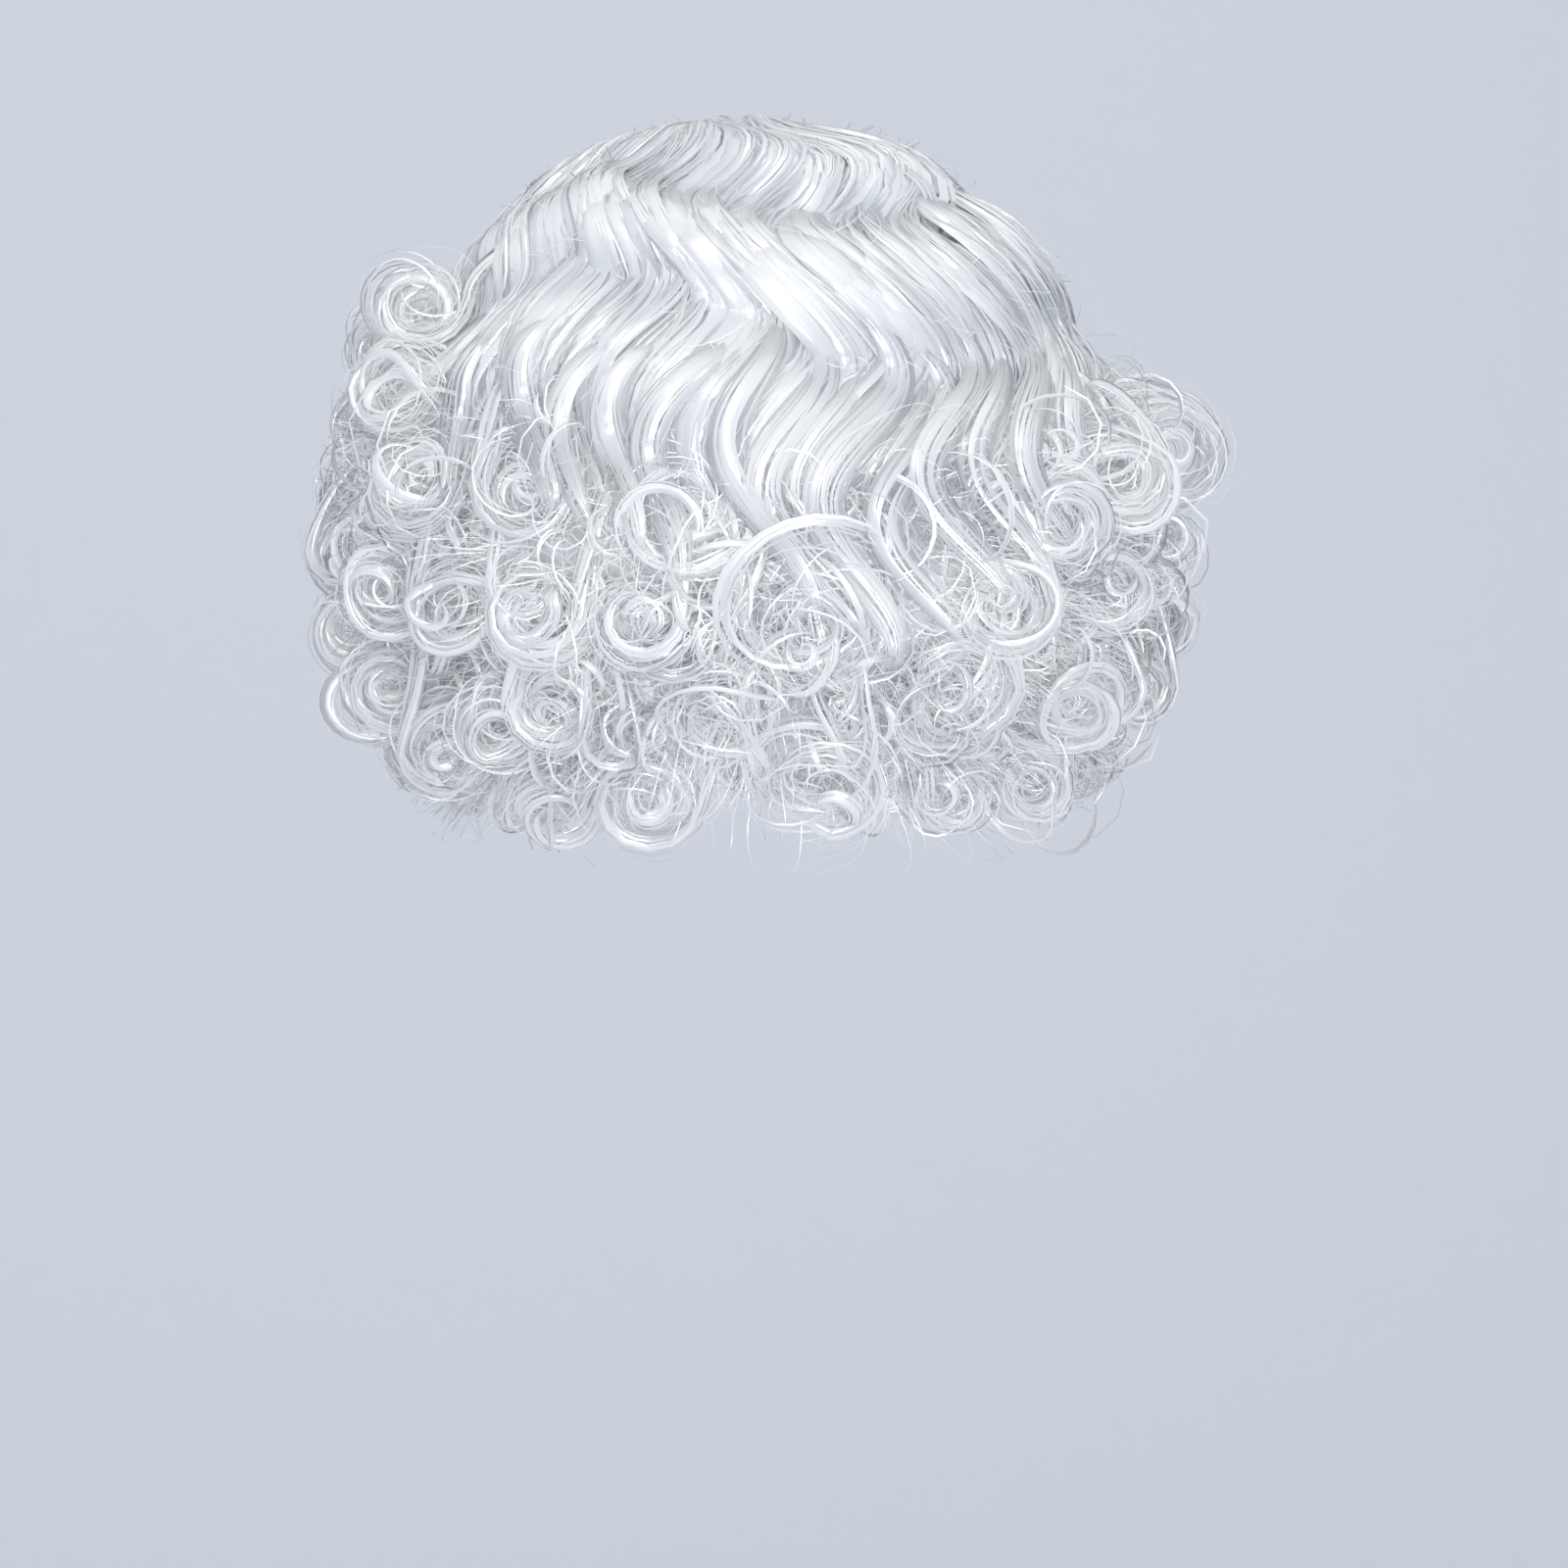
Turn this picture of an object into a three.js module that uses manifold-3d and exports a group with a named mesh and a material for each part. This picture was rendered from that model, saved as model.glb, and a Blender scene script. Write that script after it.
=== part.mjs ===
// A short curly white wig in its worn form: a hollow cap, a crown of finger-waved hair over it, and
// banks of coiled locks round the back, the sides and the nape.
// Millimetres, +Z up, the face towards -Y and the wearer's left towards +X. The origin is the point
// inside the cap that rests on the top of the head.
import * as THREE from "three";
import { mergeVertices } from "three/addons/utils/BufferGeometryUtils.js";
import Module from "manifold-3d";

const wasm = await Module();
wasm.setup();

// The head that the cap fits
const headBreadth = 152;
const headLength = 194;
const crownDepth = 112; // from the crown down to the widest level of the head
const napeDepth = 96; // from that level down to where the head's shape would close

// The cap
const capWall = 1.5;
const clearance = 0.3; // between pieces that rest on each other
const lockRoom = 0.5; // between a lock and a bank that it isn't fused to
const hairlineDrop = 58; // edge of the cap at the forehead, below the crown
const hairlineBack = 30; // how far the edge runs back over the temple
const earTabDrop = 128;
const earTabLength = 22;
const earNotchDrop = 100;
const earNotchLength = 30;
const napeDrop = 166;

// The waved crown
const crownLoft = 22; // hair above the cap at the crown
const crownSideLoft = 43;
const crownBackLoft = 35;
const crownFrontLoft = 24;
const waveLength = 48;
const waveHeight = 2.6; // crest above the mean surface
const waveDrift = 1.3; // how far the crests wander up and down, in radians of a wave
const waveDrifts = 3; // how often they do so round the head
const lockGroove = 3.4; // depth of the grooves between the waved locks
const lockSway = 9; // how far a wave carries a lock sideways
const wavedLocks = 20; // a multiple of 4, so that each groove follows a row of corners
const padLocks = 20;
const hemBack = 98; // lower edge of the waves below the crown, at the back
const hemRight = 62;
const hemLeft = 38;
const hemFront = 72;
const lockTips = 6; // how far the ends of the waved locks hang past that edge

// The pads of hair that the coils are fused to
const padSideLoft = 40;
const padBackLoft = 29;
const padFrontLoft = 17;
const padLowLoft = 20;
const padDrop = 190; // lower edge of the hair pads below the crown
const tierDrop = 146; // the split between the upper and the lower banks

// Where the banks of coils end, in degrees from the middle of the back
const templeFront = 128;
const sideFront = 98;
const sideBack = 62;
const middleEdge = 22;
const jawFront = 112;
const napeFront = 70;
const napeMiddleEdge = 24;

// The coiled locks
const curlRadius = 16;
const lockWidth = 15; // along the coil's axis
const lockThickness = 7.5; // across the ring
const coilTurns = 1.15;
const coilTighten = 0.56; // share of the radius lost by the tip
const coilTilt = 20; // greatest tilt of a coil up or down, in degrees
const coilSink = 4; // how deep a coil is bedded in its pad
const rootDepth = 8; // how deep a lock's root lies in its pad
const stemShare = 0.22; // share of a lock's length over which it rises from its root
const tipThinning = 0.5; // share of the lock's section lost by the tip

// Facets
const roundSteps = 24;
const heightSteps = 12;
const crownHeightSteps = 23;
const crownCrowding = 1.35; // draws the crown's rows of facets up towards the top
const padHeightSteps = 14;
const lockSides = 5;
const lockSteps = 11;
const facetSlack = 0.1; // facets shorter than this are merged into their neighbours

const reach = 2 * (headLength + crownBackLoft); // longer than any piece, for cutters
const headCentre = new THREE.Vector3(0, 0, -crownDepth);
const radians = THREE.MathUtils.degToRad;

// Banks of coils, each between two bearings. Bearings run from the middle of the back, positive
// towards the wearer's left. A coil has a row: its bearing in degrees, its drop as a share of the
// pads' drop, its size as a share of the curl radius, and the lean of its axis towards the back.
const columns = ["bearing", "drop", "size", "lean"];
const templeRows = [
  [103, 0.44, 0.9, 30],
  [108, 0.64, 0.95, 15],
  [119, 0.48, 1, 0],
  [121, 0.7, 0.85, -10],
];
const jawRows = [
  [82, 0.81, 0.85, 65],
  [93, 0.92, 0.9, 30],
  [104, 0.84, 0.9, 0],
];
const leftSideRows = [
  [86, 0.3, 0.85, 70],
  [90, 0.41, 0.75, 75],
  [90, 0.51, 0.85, 75],
  [88, 0.61, 0.9, 70],
  [88, 0.72, 0.9, 70],
];
const leftBackRows = [
  [58, 0.26, 1, 50],
  [56, 0.38, 0.95, 45],
  [49, 0.53, 1, 40],
  [29, 0.53, 1.05, 20],
  [55, 0.66, 0.95, 50],
  [42, 0.7, 0.9, 35],
  [28, 0.71, 1.1, 25],
];
const middleBackRows = [
  [8, 0.57, 1.35, 10],
  [-8, 0.71, 1.5, 5],
  [14, 0.72, 0.95, 15],
];
const rightBackRows = [
  [-34, 0.7, 1, 30],
  [-43, 0.57, 1, 35],
  [-57, 0.51, 0.95, 50],
  [-57, 0.67, 0.9, 50],
];
const rightSideRows = [
  [-86, 0.46, 1.2, 70],
  [-90, 0.6, 0.9, 75],
  [-84, 0.72, 0.85, 65],
];
const leftNapeRows = [
  [64, 0.81, 0.9, 55],
  [55, 0.9, 0.9, 45],
  [38, 0.86, 0.9, 35],
  [28, 0.84, 0.95, 20],
  [36, 0.97, 0.8, 30],
];
const middleNapeRows = [
  [4, 0.86, 0.95, 5],
  [-10, 0.94, 1.2, 10],
  [17, 0.97, 1.05, 15],
];
const rightNapeRows = [
  [-30, 0.82, 1.2, 20],
  [-51, 0.83, 1, 45],
  [-52, 0.95, 0.8, 45],
  [-36, 0.97, 0.8, 30],
];
const upperBanks = [
  { name: "right_temple_curls", from: -templeFront, to: -sideFront, rows: mirrored(templeRows) },
  { name: "right_side_curls", from: -sideFront, to: -sideBack, rows: rightSideRows },
  { name: "right_back_curls", from: -sideBack, to: -middleEdge, rows: rightBackRows },
  { name: "middle_back_curls", from: -middleEdge, to: middleEdge, rows: middleBackRows },
  { name: "left_back_curls", from: middleEdge, to: sideBack, rows: leftBackRows },
  { name: "left_side_curls", from: sideBack, to: sideFront, rows: leftSideRows },
  { name: "left_temple_curls", from: sideFront, to: templeFront, rows: templeRows },
];
const lowerBanks = [
  { name: "right_jaw_curls", from: -jawFront, to: -napeFront, rows: mirrored(jawRows) },
  { name: "right_nape_curls", from: -napeFront, to: -napeMiddleEdge, rows: rightNapeRows },
  { name: "middle_nape_curls", from: -napeMiddleEdge, to: napeMiddleEdge, rows: middleNapeRows },
  { name: "left_nape_curls", from: napeMiddleEdge, to: napeFront, rows: leftNapeRows },
  { name: "left_jaw_curls", from: napeFront, to: jawFront, rows: jawRows },
];

function mirrored(rows) {
  return rows.map(([bearing, ...rest]) => [-bearing, ...rest]);
}

// A closed three.js geometry as a solid for joining and cutting
function solidOf(geometry) {
  const bare = geometry.clone();
  bare.deleteAttribute("normal");
  bare.deleteAttribute("uv");
  const merged = mergeVertices(bare, 1e-4);
  return new wasm.Manifold(
    new wasm.Mesh({
      numProp: 3,
      vertProperties: merged.attributes.position.array,
      triVerts: new Uint32Array(merged.index.array),
    }),
  );
}

// A solid as a three.js geometry with flat facets
function geometryOf(solid) {
  const mesh = solid.getMesh();
  const geometry = new THREE.BufferGeometry();
  geometry.setAttribute("position", new THREE.BufferAttribute(mesh.vertProperties, 3));
  geometry.setIndex(new THREE.BufferAttribute(mesh.triVerts, 1));
  geometry.computeVertexNormals();
  return geometry;
}

// Half sizes of the head shape grown by the given lofts
function lofted({ side, back, front, top, low }) {
  return {
    side: headBreadth / 2 + side,
    back: headLength / 2 + back,
    front: headLength / 2 + front,
    top: crownDepth + top,
    low: napeDepth + low,
  };
}

function evenLoft(loft) {
  return lofted({ side: loft, back: loft, front: loft, top: loft, low: loft });
}

// The point where a direction from the head's centre meets a shape of those half sizes
function shapePoint(direction, half) {
  const depth = direction.y > 0 ? half.back : half.front;
  const height = direction.z > 0 ? half.top : half.low;
  const across = Math.hypot(direction.x / half.side, direction.y / depth, direction.z / height);
  return direction.clone().divideScalar(across);
}

// A sphere's vertices moved out to a shape. Styling may turn a direction and raise the surface there.
function shapeSolid(half, rounds, heights, styling) {
  const sphere = new THREE.SphereGeometry(1, rounds, heights).rotateX(Math.PI / 2);
  const position = sphere.attributes.position;
  const direction = new THREE.Vector3();
  for (let i = 0; i < position.count; i++) {
    direction.fromBufferAttribute(position, i).normalize();
    const relief = styling ? styling(direction) : 0;
    const point = shapePoint(direction, half).addScaledVector(direction, relief).add(headCentre);
    position.setXYZ(i, point.x, point.y, point.z);
  }
  return solidOf(sphere);
}

// A side outline in Y and Z, extruded right across the head
function acrossHead(outline) {
  const shape = new THREE.Shape(outline.map(([y, z]) => new THREE.Vector2(y, z)));
  const geometry = new THREE.ExtrudeGeometry(shape, { depth: 2 * reach, bevelEnabled: false });
  geometry.translate(0, 0, -reach);
  geometry.rotateX(Math.PI / 2).rotateZ(Math.PI / 2);
  return solidOf(geometry);
}

// A wedge between two bearings and two drops, kept back from its neighbours by the clearance
function wedge(from, to, upperDrop, lowerDrop) {
  const middle = radians((from + to) / 2);
  const spread = radians((to - from) / 2);
  const tip = clearance / 2 / Math.sin(spread);
  const towards = (bearing, length) =>
    new THREE.Vector2(
      Math.sin(middle) * tip + Math.sin(bearing) * length,
      Math.cos(middle) * tip + Math.cos(bearing) * length,
    );
  const shape = new THREE.Shape([
    towards(middle, 0),
    towards(middle + spread, reach),
    towards(middle, reach),
    towards(middle - spread, reach),
  ]);
  const depth = lowerDrop - upperDrop;
  const geometry = new THREE.ExtrudeGeometry(shape, { depth, bevelEnabled: false });
  return solidOf(geometry.translate(0, 0, -lowerDrop));
}

// The drop of the waves' lower edge at a bearing given in radians
function hemDrop(bearing) {
  const facing = Math.cos(bearing) ** 2;
  const low = Math.cos(bearing) > 0 ? hemBack : hemFront;
  const side = bearing > 0 ? hemLeft : hemRight;
  const tips = Math.sqrt(Math.abs(Math.sin((wavedLocks / 2) * bearing)));
  return side + (low - side) * facing + lockTips * tips;
}

// Everything above the waves' lower edge, moved down by a margin
function aboveHem(margin) {
  const cutter = new THREE.CylinderGeometry(reach, reach, reach, 3 * wavedLocks).rotateX(Math.PI / 2);
  const position = cutter.attributes.position;
  for (let i = 0; i < position.count; i++) {
    const [x, y, z] = [position.getX(i), position.getY(i), position.getZ(i)];
    const rim = Math.hypot(x, y) > reach / 2;
    const edge = rim ? hemDrop(Math.atan2(x, y)) : hemRight;
    if (z < 0) position.setZ(i, -edge - margin);
  }
  return solidOf(cutter);
}

// Finger waves: crests that wander round the head, and grooves between locks that sway with them.
// A direction is turned to follow its lock, and the height of the hair there is returned.
function fingerWaves(locks, crowding) {
  return (direction) => {
    const polar = Math.acos(THREE.MathUtils.clamp(direction.z, -1, 1)) / Math.PI;
    const drop = Math.PI * Math.pow(polar, crowding);
    const bearing = Math.atan2(direction.x, direction.y);
    const along = drop * crownDepth;
    const phase = (2 * Math.PI * along) / waveLength + waveDrift * Math.sin(waveDrifts * bearing);
    const spread = THREE.MathUtils.smoothstep(along, waveLength / 4, waveLength);
    const waist = Math.max(Math.sin(drop) * crownDepth, lockSway);
    const swayed = bearing + (spread * lockSway * Math.sin(phase)) / waist;
    const groove = Math.sqrt(Math.abs(Math.sin((locks / 2) * bearing))) - 1;
    direction.set(Math.sin(drop) * Math.sin(swayed), Math.sin(drop) * Math.cos(swayed), Math.cos(drop));
    return spread * (waveHeight * Math.cos(phase) + lockGroove * groove);
  };
}

// A rod bent into a lock: it rises from its root in the pad and winds inwards, flat across its axis
// and thinner towards the tip. The margin makes it fuller all round.
function lockSolid({ centre, axis, start, facing, rootSink, radius, hand }, margin) {
  const rod = new THREE.CylinderGeometry(1, 1, 1, lockSides, lockSteps);
  const position = rod.attributes.position;
  const side = new THREE.Vector3().crossVectors(axis, start).multiplyScalar(hand);
  const point = new THREE.Vector3();
  for (let i = 0; i < position.count; i++) {
    const share = position.getY(i) + 0.5;
    const angle = coilTurns * 2 * Math.PI * share;
    const out = start.clone().multiplyScalar(Math.cos(angle)).addScaledVector(side, Math.sin(angle));
    const onward = side.clone().multiplyScalar(Math.cos(angle)).addScaledVector(start, -Math.sin(angle));
    const end = (share > 0.999) - (share < 0.001);
    const fullness = 1 - tipThinning * share * share;
    const thick = (margin + (lockThickness / 2) * fullness) * position.getX(i);
    const wide = (margin + (lockWidth / 2) * fullness) * position.getZ(i);
    const rising = 1 - THREE.MathUtils.smoothstep(share, 0, stemShare);
    point.copy(centre).addScaledVector(out, radius * (1 - coilTighten * share) + thick);
    point.addScaledVector(axis, wide).addScaledVector(onward, margin * end);
    point.addScaledVector(facing, -rootSink * rising);
    position.setXYZ(i, point.x, point.y, point.z);
  }
  const turned = solidOf(rod).volume() < 0;
  return solidOf(turned ? turnedOut(rod) : rod);
}

// The same geometry with each face turned round
function turnedOut(geometry) {
  const index = geometry.index;
  for (let i = 0; i < index.count; i += 3) {
    const second = index.getX(i + 1);
    index.setX(i + 1, index.getX(i + 2));
    index.setX(i + 2, second);
  }
  return geometry;
}

const padHalf = lofted({
  side: padSideLoft,
  back: padBackLoft,
  front: padFrontLoft,
  top: crownLoft,
  low: padLowLoft,
});

// The point of the pads' surface at a bearing and a drop, and the way it faces
function padSeat(bearing, drop) {
  const height = crownDepth - drop;
  const tall = height > 0 ? padHalf.top : padHalf.low;
  const shrink = Math.sqrt(Math.max(1 - (height / tall) ** 2, 0.15));
  const [east, north] = [Math.sin(radians(bearing)), Math.cos(radians(bearing))];
  const depth = north > 0 ? padHalf.back : padHalf.front;
  const run = shrink / Math.hypot(east / padHalf.side, north / depth);
  const point = new THREE.Vector3(run * east, run * north, -drop);
  const facing = new THREE.Vector3(
    point.x / padHalf.side ** 2,
    point.y / depth ** 2,
    height / tall ** 2,
  ).normalize();
  return { point, facing };
}

// Where a coil lies. Its lock's root points into the pad and towards the middle of its bank.
function lockPlace(row, middle, index) {
  const { point, facing } = padSeat(row.bearing, row.drop * padDrop);
  const radius = curlRadius * row.size;
  const level = new THREE.Vector3(0, 0, 1).cross(facing).normalize();
  const upward = facing.clone().cross(level);
  const axis = facing.clone().applyAxisAngle(upward, radians(row.lean) * Math.sign(row.bearing));
  axis.applyAxisAngle(level, radians(coilTilt) * Math.sin(2 * index));
  const start = middle.clone().sub(point).clampLength(0, radius).divideScalar(2 * radius).sub(facing);
  start.addScaledVector(axis, -start.dot(axis)).normalize();
  const flat = axis.dot(facing);
  const rise = (lockWidth / 2) * flat + (radius + lockThickness / 2) * Math.sqrt(1 - flat ** 2);
  const centre = point.addScaledVector(facing, rise - coilSink);
  const first = centre.clone().addScaledVector(start, radius).sub(headCentre);
  const rootSink = first.length() - shapePoint(first, padHalf).length() + rootDepth;
  return { centre, axis, start, facing, rootSink, radius, hand: index % 2 ? 1 : -1 };
}

const hairInside = evenLoft(capWall + clearance);
const underCap = shapeSolid(evenLoft(0), roundSteps, heightSteps);
const overCap = shapeSolid(evenLoft(capWall), roundSteps, heightSteps);
const insideHair = shapeSolid(hairInside, roundSteps, heightSteps);

// The cap: a thin dome with a forehead edge, an ear tab and an ear notch each side, and a nape
function capSolid() {
  const front = -headLength / 2;
  const tabFront = -earTabLength;
  const outline = [
    [-reach, reach],
    [reach, reach],
    [reach, -napeDrop],
    [earNotchLength + earTabLength, -napeDrop],
    [earNotchLength, -earNotchDrop - earTabLength],
    [earNotchLength * 0.75, -earNotchDrop],
    [0, -earNotchDrop],
    [0, -earTabDrop],
    [tabFront, -earTabDrop],
    [tabFront - hairlineBack, -earNotchDrop],
    [front, -hairlineDrop],
    [-reach, -hairlineDrop],
  ];
  return overCap.subtract(underCap).intersect(acrossHead(outline));
}

function crownSolid() {
  const half = lofted({
    side: crownSideLoft,
    back: crownBackLoft,
    front: crownFrontLoft,
    top: crownLoft,
    low: crownLoft,
  });
  const styling = fingerWaves(wavedLocks, crownCrowding);
  const outside = shapeSolid(half, 3 * wavedLocks, crownHeightSteps, styling);
  return clearOf(outside.subtract(insideHair).intersect(aboveHem(0)), locks);
}

// A pad of hair for each bank, and the locks that are fused to it
const padShell = shapeSolid(padHalf, 2 * padLocks, padHeightSteps, fingerWaves(padLocks, 1))
  .subtract(insideHair)
  .subtract(aboveHem(clearance));
const banks = [
  ...upperBanks.map((bank) => ({ ...bank, upperDrop: 0, lowerDrop: tierDrop })),
  ...lowerBanks.map((bank) => ({ ...bank, upperDrop: tierDrop + clearance, lowerDrop: padDrop })),
];
const locks = banks.flatMap(({ name, from, to, upperDrop, lowerDrop, rows }) => {
  const middle = padSeat((from + to) / 2, (Math.max(upperDrop, hemBack) + lowerDrop) / 2).point;
  return rows.map((values, index) => {
    const row = Object.fromEntries(values.map((value, i) => [columns[i], value]));
    const place = lockPlace(row, middle, index);
    return { bank: name, solid: lockSolid(place, 0).subtract(insideHair), room: lockSolid(place, lockRoom) };
  });
});

// A solid with room cut out of it for the given locks, less the slivers that the cuts leave
function clearOf(solid, others) {
  const left = others.reduce((rest, lock) => rest.subtract(lock.room), solid);
  return left.decompose().reduce((most, body) => (body.volume() > most.volume() ? body : most));
}

function bankSolid({ name, from, to, upperDrop, lowerDrop }) {
  const pad = padShell.intersect(wedge(from, to, upperDrop, lowerDrop));
  const own = locks.filter((lock) => lock.bank === name);
  const foreign = locks.filter((lock) => lock.bank !== name);
  const earlier = locks.slice(0, locks.indexOf(own[0]));
  return own.reduce((bank, lock) => bank.add(clearOf(lock.solid, earlier)), clearOf(pad, foreign));
}

const hair = new THREE.MeshStandardMaterial({ color: 0xeef1f4, roughness: 0.35, metalness: 0 });
const net = new THREE.MeshStandardMaterial({ color: 0xd9d6cf, roughness: 0.8, metalness: 0 });

const wig = new THREE.Group();

function addPiece(name, solid, material) {
  const mesh = new THREE.Mesh(geometryOf(solid.simplify(facetSlack)), material);
  mesh.name = name;
  wig.add(mesh);
}

addPiece("cap", capSolid(), net);
addPiece("crown_waves", crownSolid(), hair);
for (const bank of banks) addPiece(bank.name, bankSolid(bank), hair);

export default wig;
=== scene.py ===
"""A short curly white wig: waved hair over the crown and ring curls round the sides, back and nape.

The hair is built as meshes that follow the flow of the solids they stand for. Metres, +Z up, the
face towards -Y and the wearer's left towards +X.
"""

import math

import bpy
import numpy as np
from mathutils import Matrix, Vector


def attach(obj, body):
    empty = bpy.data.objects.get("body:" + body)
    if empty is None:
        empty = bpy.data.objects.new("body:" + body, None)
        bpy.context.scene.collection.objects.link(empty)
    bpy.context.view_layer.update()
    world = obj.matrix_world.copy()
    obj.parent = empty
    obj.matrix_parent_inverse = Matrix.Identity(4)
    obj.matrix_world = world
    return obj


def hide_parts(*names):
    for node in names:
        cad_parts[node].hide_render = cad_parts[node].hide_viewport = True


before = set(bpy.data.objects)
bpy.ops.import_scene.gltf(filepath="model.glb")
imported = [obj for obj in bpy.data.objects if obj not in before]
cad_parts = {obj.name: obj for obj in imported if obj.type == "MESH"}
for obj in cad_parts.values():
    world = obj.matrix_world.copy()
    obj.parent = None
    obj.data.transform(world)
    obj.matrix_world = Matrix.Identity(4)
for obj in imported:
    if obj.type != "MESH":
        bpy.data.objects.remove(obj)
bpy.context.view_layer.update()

MM = 0.001

# The head and the cap
HEAD_BREADTH = 152 * MM
HEAD_LENGTH = 194 * MM
CROWN_DEPTH = 112 * MM
NAPE_DEPTH = 96 * MM
HAIR_INSIDE = 1.8 * MM
HEAD_CENTRE = np.array([0, 0, -CROWN_DEPTH])

# The waved crown
CROWN_LOFT = 22 * MM
CROWN_SIDE_LOFT = 43 * MM
CROWN_BACK_LOFT = 35 * MM
CROWN_FRONT_LOFT = 24 * MM
WAVE_LENGTH = 48 * MM
WAVE_HEIGHT = 2.6 * MM
WAVE_DRIFT = 1.3
LOCK_SWAY = 9 * MM
WAVES_BEGIN = 0.4  # in wave lengths from the crown
WAVES_FULL = 1.4
SWIRL = 0.9  # how far the hair turns about the crown, in radians
SWIRL_REACH = 22 * MM
SWAY_PACE = 0.7  # sideways waves for each wave of the surface
SWAY_MIDDLE = math.radians(-16)  # the bearing where the locks sway most
SWAY_SPREAD = math.radians(35)
WAVED_LOCKS = 20
LOCK_TIPS = 6 * MM
HEM_BACK = 98 * MM
HEM_RIGHT = 62 * MM
HEM_LEFT = 38 * MM
HEM_FRONT = 72 * MM
HEM_OVERLAP = 8 * MM

# The pads under the curls
PAD_SIDE_LOFT = 40 * MM
PAD_BACK_LOFT = 29 * MM
PAD_FRONT_LOFT = 17 * MM
PAD_LOW_LOFT = 20 * MM
PAD_DROP = 190 * MM
TIER_DROP = 146 * MM
TIER_OVERLAP = 3 * MM

# Where the banks of curls end, in degrees from the middle of the back
TEMPLE_FRONT = 128
SIDE_FRONT = 98
SIDE_BACK = 62
MIDDLE_EDGE = 22
JAW_FRONT = 112
NAPE_FRONT = 70
NAPE_MIDDLE_EDGE = 24

# The curls
CURL_RADIUS = 16 * MM
LOCK_WIDTH = 15 * MM
LOCK_THICKNESS = 7.5 * MM
COIL_TURNS = 1.15
COIL_TIGHTEN = 0.56
COIL_TILT = 20
COIL_SINK = 4 * MM
ROOT_DEPTH = 8 * MM
STEM_SHARE = 0.22
TIP_THINNING = 0.5
CURL_WOBBLE = 0.28  # how far each lock's ring is tipped and shifted
COIL_OVAL = 0.14
CROWN_SEED = 11
BANK_SEED = 100

# One row for each curl: bearing in degrees, drop as a share of PAD_DROP, size as a share of
# CURL_RADIUS, and the lean of its axis towards the back in degrees
TEMPLE_ROWS = [
    (103, 0.44, 0.9, 30),
    (108, 0.64, 0.95, 15),
    (119, 0.48, 1, 0),
    (121, 0.7, 0.85, -10),
]
JAW_ROWS = [
    (82, 0.81, 0.85, 65),
    (93, 0.92, 0.9, 30),
    (104, 0.84, 0.9, 0),
]
LEFT_SIDE_ROWS = [
    (86, 0.3, 0.85, 70),
    (90, 0.41, 0.75, 75),
    (90, 0.51, 0.85, 75),
    (88, 0.61, 0.9, 70),
    (88, 0.72, 0.9, 70),
]
LEFT_BACK_ROWS = [
    (58, 0.26, 1, 50),
    (56, 0.38, 0.95, 45),
    (49, 0.53, 1, 40),
    (29, 0.53, 1.05, 20),
    (55, 0.66, 0.95, 50),
    (42, 0.7, 0.9, 35),
    (28, 0.71, 1.1, 25),
]
MIDDLE_BACK_ROWS = [
    (8, 0.57, 1.35, 10),
    (-8, 0.71, 1.5, 5),
    (14, 0.72, 0.95, 15),
]
RIGHT_BACK_ROWS = [
    (-34, 0.7, 1, 30),
    (-43, 0.57, 1, 35),
    (-57, 0.51, 0.95, 50),
    (-57, 0.67, 0.9, 50),
]
RIGHT_SIDE_ROWS = [
    (-86, 0.46, 1.2, 70),
    (-90, 0.6, 0.9, 75),
    (-84, 0.72, 0.85, 65),
]
LEFT_NAPE_ROWS = [
    (64, 0.81, 0.9, 55),
    (55, 0.9, 0.9, 45),
    (38, 0.86, 0.9, 35),
    (28, 0.84, 0.95, 20),
    (36, 0.97, 0.8, 30),
]
MIDDLE_NAPE_ROWS = [
    (4, 0.86, 0.95, 5),
    (-10, 0.94, 1.2, 10),
    (17, 0.97, 1.05, 15),
]
RIGHT_NAPE_ROWS = [
    (-30, 0.82, 1.2, 20),
    (-51, 0.83, 1, 45),
    (-52, 0.95, 0.8, 45),
    (-36, 0.97, 0.8, 30),
]


def mirrored(rows):
    return [(-bearing, *rest) for bearing, *rest in rows]


UPPER_BANKS = [
    ("right_temple_curls", -TEMPLE_FRONT, -SIDE_FRONT, mirrored(TEMPLE_ROWS)),
    ("right_side_curls", -SIDE_FRONT, -SIDE_BACK, RIGHT_SIDE_ROWS),
    ("right_back_curls", -SIDE_BACK, -MIDDLE_EDGE, RIGHT_BACK_ROWS),
    ("middle_back_curls", -MIDDLE_EDGE, MIDDLE_EDGE, MIDDLE_BACK_ROWS),
    ("left_back_curls", MIDDLE_EDGE, SIDE_BACK, LEFT_BACK_ROWS),
    ("left_side_curls", SIDE_BACK, SIDE_FRONT, LEFT_SIDE_ROWS),
    ("left_temple_curls", SIDE_FRONT, TEMPLE_FRONT, TEMPLE_ROWS),
]
LOWER_BANKS = [
    ("right_jaw_curls", -JAW_FRONT, -NAPE_FRONT, mirrored(JAW_ROWS)),
    ("right_nape_curls", -NAPE_FRONT, -NAPE_MIDDLE_EDGE, RIGHT_NAPE_ROWS),
    ("middle_nape_curls", -NAPE_MIDDLE_EDGE, NAPE_MIDDLE_EDGE, MIDDLE_NAPE_ROWS),
    ("left_nape_curls", NAPE_MIDDLE_EDGE, NAPE_FRONT, LEFT_NAPE_ROWS),
    ("left_jaw_curls", NAPE_FRONT, JAW_FRONT, JAW_ROWS),
]

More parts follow.
